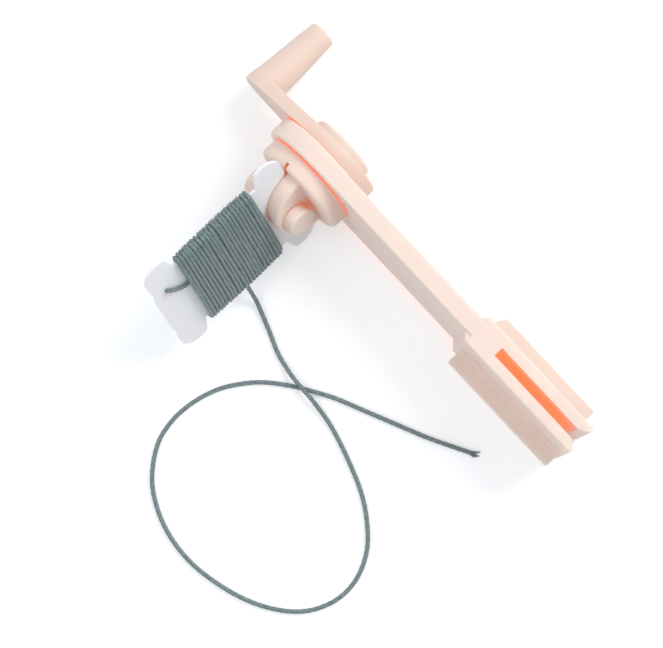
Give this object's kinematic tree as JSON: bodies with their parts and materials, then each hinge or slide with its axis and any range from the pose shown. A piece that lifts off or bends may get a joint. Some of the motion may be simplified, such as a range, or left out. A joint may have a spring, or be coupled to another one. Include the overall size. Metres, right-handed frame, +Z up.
{
  "type": "floss bobbin winder",
  "caption": "Hand winder with a slotted clip foot, a crank and a slotted holder that pins a flat bobbin card wound with floss.",
  "frame": {"origin": "under the middle of the winder's box, at the height of the table it lies on, the loose floss left out", "axes": "+X along the stem towards the slotted foot, +Y towards the crank's knob, +Z up from the table"},
  "size_m": [0.1034, 0.0987, 0.0359],
  "materials": {
    "pale_plastic": "smooth moulded plastic, satin",
    "white_card": "thin white plastic sheet, die cut",
    "floss": "six-strand cotton floss, soft sheen"
  },
  "bodies": {
    "stand": {"stand": "pale_plastic", "floss_tail": "floss"},
    "winder": {"bobbin_holder": "pale_plastic", "crank_handle": "pale_plastic", "spindle_cap": "pale_plastic", "bobbin_card": "white_card", "floss_core": "floss", "floss_winding": "floss", "floss_start": "floss"},
    "peg": {"bobbin_peg": "pale_plastic"}
  },
  "joints": [
    {"name": "crank_turn", "type": "hinge", "parent": "stand", "child": "winder", "pos_m": [-0.02683, 0.01262, 0.01308], "axis": [0, 0.9817, -0.1903], "continuous": true},
    {"name": "peg_pull", "type": "slide", "parent": "winder", "child": "peg", "axis": [0.8788, 0.0908, 0.4684], "range_m": [0, 0.012]}
  ]
}
